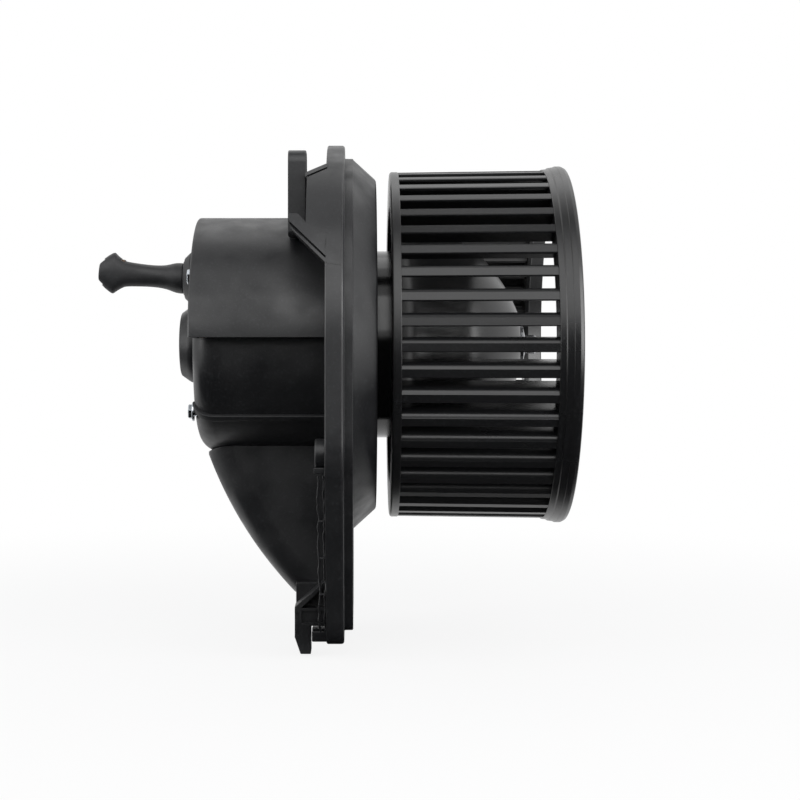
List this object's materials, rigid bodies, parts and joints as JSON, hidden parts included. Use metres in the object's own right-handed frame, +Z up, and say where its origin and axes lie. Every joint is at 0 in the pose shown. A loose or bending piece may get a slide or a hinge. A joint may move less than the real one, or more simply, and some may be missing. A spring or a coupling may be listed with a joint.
{
  "type": "blower motor wheel",
  "caption": "Heater blower with a motor in a half-drum housing, a mounting flange with a cooling duct, a rubber lead boot and a squirrel-cage wheel.",
  "frame": {"origin": "on the motor's axis, in the seat plane of the mounting flange", "axes": "+X along the motor's axis towards the wheel's open inlet, +Z up, away from the cooling duct"},
  "size_m": [0.1961, 0.168, 0.2096],
  "materials": {
    "black_nylon": "fine moulded black nylon",
    "wheel_nylon": "satin black nylon",
    "rubber": "matt black rubber",
    "zinc_steel": "bright zinc plate",
    "black_steel": "dark passivated steel",
    "spring_steel": "bare spring steel",
    "ground_steel": "ground steel",
    "ferrite": "sintered ferrite",
    "bronze": "sintered bronze",
    "copper": "copper",
    "carbon": "carbon brush block",
    "brass": "stamped brass",
    "lamination": "stacked steel sheets",
    "phenolic": "brown moulding compound",
    "red_insulation": "red lead insulation",
    "black_insulation": "black lead insulation"
  },
  "bodies": {
    "housing": {"mounting_flange": "black_nylon", "upper_cover": "black_nylon", "lower_shell": "black_nylon", "cooling_duct": "black_nylon", "rear_bearing_cap": "black_nylon", "housing_screw_upper_near": "zinc_steel", "housing_screw_upper_far": "zinc_steel", "housing_screw_lower_near": "zinc_steel", "housing_screw_lower_far": "zinc_steel", "lead_gland": "rubber", "lead_boot": "rubber", "connector_insert": "phenolic", "terminal_negative": "brass", "terminal_positive": "brass", "lead_negative": "black_insulation", "lead_positive": "red_insulation", "motor_can": "black_steel", "motor_end_frame": "phenolic", "magnet_upper": "ferrite", "magnet_lower": "ferrite", "magnet_clip_near": "spring_steel", "magnet_clip_far": "spring_steel", "front_bearing": "bronze", "rear_bearing": "bronze", "front_bearing_retainer": "spring_steel", "rear_bearing_retainer": "spring_steel", "front_damper_ring": "rubber", "rear_damper_ring": "rubber", "brush_plate": "phenolic", "brush_spring_upper": "spring_steel", "brush_spring_lower": "spring_steel", "choke_near": "copper", "choke_far": "copper", "suppression_capacitor": "brass"},
    "rotor": {"motor_shaft": "ground_steel", "armature_core": "lamination", "armature_winding": "copper", "commutator": "copper", "front_thrust_washer": "spring_steel", "rear_thrust_washer": "spring_steel", "wheel_cage_1": "wheel_nylon", "wheel_cage_2": "wheel_nylon", "wheel_cage_3": "wheel_nylon", "wheel_cage_4": "wheel_nylon", "wheel_cage_5": "wheel_nylon", "wheel_cage_6": "wheel_nylon", "wheel_cage_7": "wheel_nylon", "wheel_cage_8": "wheel_nylon", "wheel_cage_9": "wheel_nylon", "wheel_cage_10": "wheel_nylon", "wheel_cage_11": "wheel_nylon", "wheel_cage_12": "wheel_nylon", "wheel_dish": "wheel_nylon", "wheel_rim": "wheel_nylon", "hub_sleeve": "brass", "wheel_retaining_clip": "spring_steel"},
    "upper_brush": {"brush_upper": "carbon"},
    "lower_brush": {"brush_lower": "carbon"}
  },
  "joints": [
    {"name": "wheel_spin", "type": "hinge", "parent": "housing", "child": "rotor", "pos_m": [0, 0, 0], "axis": [1, 0, 0], "continuous": true},
    {"name": "upper_brush_slide", "type": "slide", "parent": "housing", "child": "upper_brush", "axis": [0, 0, 1], "range_m": [0, 0.003], "stiffness_N_per_m": 300, "springref_m": -0.01, "deforming": ["brush_spring_upper"]},
    {"name": "lower_brush_slide", "type": "slide", "parent": "housing", "child": "lower_brush", "axis": [0, 0, -1], "range_m": [0, 0.003], "stiffness_N_per_m": 300, "springref_m": -0.01, "deforming": ["brush_spring_lower"]}
  ]
}
